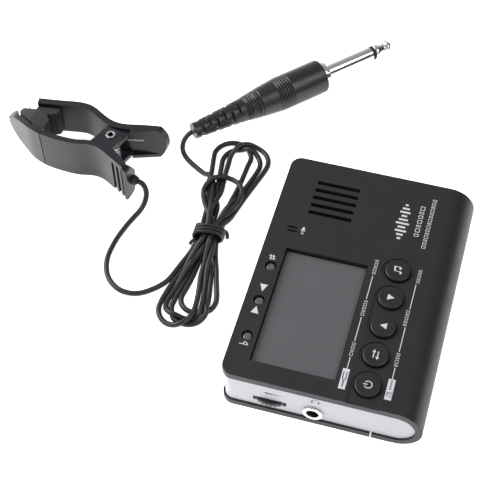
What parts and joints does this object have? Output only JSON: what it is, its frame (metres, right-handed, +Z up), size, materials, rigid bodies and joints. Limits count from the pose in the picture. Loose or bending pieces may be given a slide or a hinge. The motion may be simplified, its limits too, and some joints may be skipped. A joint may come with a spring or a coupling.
{
  "type": "instrument tuner with clip-on pickup",
  "caption": "Pocket tuner and metronome with a rounded spine and fold-out stand, beside its spring-clip contact pickup on a tied cord with a jack plug.",
  "frame": {"origin": "centre of the tuner's underside, which rests on the table", "axes": "+X across the tuner towards its rounded spine, +Y along its long side towards the speaker end, +Z up out of the screen"},
  "size_m": [0.1999, 0.1931, 0.022],
  "materials": {
    "black_shell": "fine satin grain",
    "case_white": "satin, cool white",
    "window": "smooth clear lens",
    "lcd_glass": "grey display glass, switched off",
    "inner_black": "plain moulded",
    "circuit_board": "green solder resist",
    "button_black": "satin",
    "lamp_lens": "clear grey lens, unlit",
    "plated_steel": "nickel plated",
    "cell_wrap": "printed wrap",
    "clip_gloss": "moulded, semi-gloss",
    "jaw_rubber": "soft, matt",
    "disc_brass": "plain",
    "chrome_plate": "polished",
    "cord_jacket": "smooth soft jacket",
    "plug_black": "moulded, semi-gloss"
  },
  "bodies": {
    "case": {"top_cover": "black_shell", "inner_case": "case_white", "lcd_window": "window", "lcd_panel": "lcd_glass", "lcd_holder": "inner_black", "phones_jack": "inner_black", "input_jack": "inner_black", "speaker_cone": "inner_black", "main_board": "circuit_board", "sharp_lamp": "lamp_lens", "in_tune_lamp": "lamp_lens", "flat_lamp": "lamp_lens", "switch_1": "plated_steel", "switch_2": "plated_steel", "switch_3": "plated_steel", "switch_4": "plated_steel", "switch_5": "plated_steel", "speaker_frame": "plated_steel", "speaker_magnet": "plated_steel", "mic_capsule": "plated_steel", "volume_control": "plated_steel", "front_contacts": "plated_steel", "rear_contacts": "plated_steel", "stand_pin_front": "plated_steel", "stand_pin_rear": "plated_steel", "case_screw_1": "plated_steel", "case_screw_2": "plated_steel", "case_screw_3": "plated_steel", "case_screw_4": "plated_steel", "cell_1": "cell_wrap", "cell_2": "cell_wrap", "phones_jack_ring": "chrome_plate", "input_jack_nut": "chrome_plate"},
    "stand": {"stand_flap": "black_shell"},
    "door": {"battery_door": "case_white"},
    "volume": {"volume_wheel": "button_black"},
    "note_key": {"note_button": "button_black"},
    "down_key": {"down_button": "button_black"},
    "up_key": {"up_button": "button_black"},
    "mode_key": {"mode_button": "button_black"},
    "power_key": {"power_button": "button_black"},
    "clip_jaw": {"clip_upper_arm": "clip_gloss", "upper_jaw_pad": "jaw_rubber"},
    "pickup": {"clip_lower_arm": "clip_gloss", "pickup_cover": "clip_gloss", "lower_jaw_pad": "jaw_rubber", "piezo_disc": "disc_brass", "pivot_rivet": "chrome_plate", "torsion_spring": "plated_steel", "cord_gland": "jaw_rubber", "cord_clip_end": "cord_jacket", "cord_hank": "cord_jacket", "cord_plug_end": "cord_jacket", "cord_tie": "cord_jacket", "plug_relief": "jaw_rubber", "plug_handle": "plug_black", "plug_sleeve": "chrome_plate", "plug_insulator": "plug_black", "plug_tip": "chrome_plate"}
  },
  "joints": [
    {"name": "stand_hinge", "type": "hinge", "parent": "case", "child": "stand", "pos_m": [0.021, 0, 0.0013], "axis": [0, -1, 0], "range_deg": [0, 60]},
    {"name": "battery_door_slide", "type": "slide", "parent": "case", "child": "door", "axis": [0, -1, 0], "range_m": [0, 0.0024]},
    {"name": "volume_turn", "type": "hinge", "parent": "case", "child": "volume", "pos_m": [-0.0189, -0.044, 0.0071], "axis": [0, 0, 1], "range_deg": [-135, 135]},
    {"name": "note_press", "type": "slide", "parent": "case", "child": "note_key", "axis": [0, 0, -1], "range_m": [0, 0.0007], "stiffness_N_per_m": 500},
    {"name": "down_press", "type": "slide", "parent": "case", "child": "down_key", "axis": [0, 0, -1], "range_m": [0, 0.0007], "stiffness_N_per_m": 500},
    {"name": "up_press", "type": "slide", "parent": "case", "child": "up_key", "axis": [0, 0, -1], "range_m": [0, 0.0007], "stiffness_N_per_m": 500},
    {"name": "mode_press", "type": "slide", "parent": "case", "child": "mode_key", "axis": [0, 0, -1], "range_m": [0, 0.0007], "stiffness_N_per_m": 500},
    {"name": "power_press", "type": "slide", "parent": "case", "child": "power_key", "axis": [0, 0, -1], "range_m": [0, 0.0007], "stiffness_N_per_m": 500},
    {"name": "pickup_lift", "type": "slide", "parent": "case", "child": "pickup", "axis": [0, 0, 1], "range_m": [0, 0.06]},
    {"name": "clip_open", "type": "hinge", "parent": "pickup", "child": "clip_jaw", "pos_m": [-0.1134, 0.0442, 0.01], "axis": [0, 0, -1], "range_deg": [0, 25], "stiffness_Nm_per_rad": 0.2, "springref_deg": -28.65, "deforming": ["torsion_spring"]}
  ]
}
